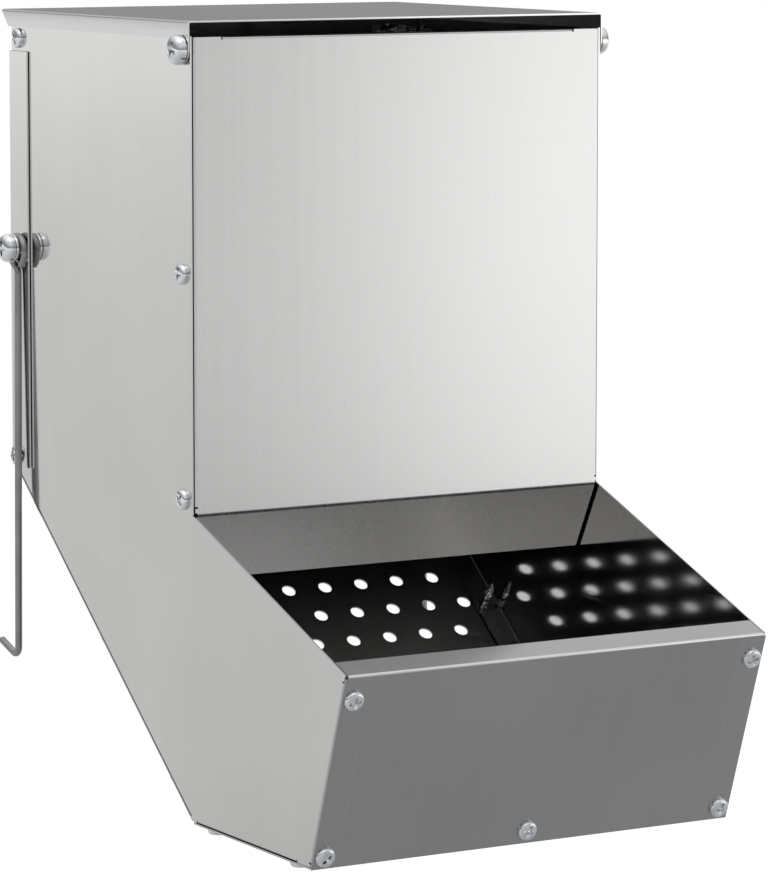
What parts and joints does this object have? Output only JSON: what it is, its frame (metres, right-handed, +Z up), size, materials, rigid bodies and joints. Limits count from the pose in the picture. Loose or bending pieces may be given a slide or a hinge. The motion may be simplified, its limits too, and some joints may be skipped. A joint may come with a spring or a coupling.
{
  "type": "rabbit feeder",
  "caption": "Sheet-steel hopper feeder with a hinged lid, a slanted perforated chute, an open trough in front and a swinging wire hook on each side.",
  "frame": {"origin": "on the front panel's outer face, midway between the sides, level with the wire hooks' pivots: the face that lies against the cage wall", "axes": "+X to the right of someone who looks at the front panel, -Y out of the front panel towards the trough, +Z up"},
  "size_m": [0.1802, 0.2473, 0.2736],
  "materials": {
    "side_panels": "bright rolled steel sheet, fine vertical grain",
    "front_panel": "bright rolled steel sheet, fine vertical grain",
    "back_panel": "bright rolled steel sheet",
    "chute": "bright perforated steel sheet",
    "trough_floor": "bright rolled steel sheet",
    "trough_front": "bright rolled steel sheet",
    "lid": "bright rolled steel sheet",
    "screws": "bright zinc plate",
    "bolts": "bright zinc plate",
    "nuts": "bright zinc plate",
    "hook_wire": "drawn dark grey wire"
  },
  "bodies": {
    "case": {"back_panel": "back_panel", "chute_panel": "chute", "chute_screw_high_left": "screws", "chute_screw_high_right": "screws", "chute_screw_low_left": "screws", "chute_screw_low_right": "screws", "chute_screw_middle_left": "screws", "chute_screw_middle_right": "screws", "floor_screw_front_left": "screws", "floor_screw_front_right": "screws", "floor_screw_rear_left": "screws", "floor_screw_rear_right": "screws", "front_panel": "front_panel", "hook_bolt_left": "bolts", "hook_bolt_right": "bolts", "hook_nut_left": "nuts", "hook_nut_right": "nuts", "hook_washer_left": "bolts", "hook_washer_right": "bolts", "lid_pivot_bolt_left": "bolts", "lid_pivot_bolt_right": "bolts", "lid_pivot_nut_left": "nuts", "lid_pivot_nut_right": "nuts", "side_panel_left": "side_panels", "side_panel_right": "side_panels", "side_screw_front_high_left": "screws", "side_screw_front_high_right": "screws", "side_screw_front_low_left": "screws", "side_screw_front_low_right": "screws", "side_screw_rear_low_left": "screws", "side_screw_rear_low_right": "screws", "side_screw_rear_top_left": "screws", "side_screw_rear_top_right": "screws", "trough_floor": "trough_floor", "trough_front": "trough_front", "trough_screw_high_left": "screws", "trough_screw_high_right": "screws", "trough_screw_low_left": "screws", "trough_screw_low_right": "screws", "trough_screw_middle": "screws"},
    "lid": {"lid": "lid"},
    "hook_left": {"wire_hook_left": "hook_wire"},
    "hook_right": {"wire_hook_right": "hook_wire"}
  },
  "joints": [
    {"name": "lid_hinge", "type": "hinge", "parent": "case", "child": "lid", "pos_m": [0, 0.0056, 0.0751], "axis": [1, 0, 0], "range_deg": [0, 110]},
    {"name": "hook_left_swing", "type": "hinge", "parent": "case", "child": "hook_left", "pos_m": [-0.0835, 0.1289, 0], "axis": [1, 0, 0], "range_deg": [-118, 0]},
    {"name": "hook_right_swing", "type": "hinge", "parent": "case", "child": "hook_right", "pos_m": [0.0835, 0.1289, 0], "axis": [1, 0, 0], "range_deg": [-118, 0]}
  ]
}
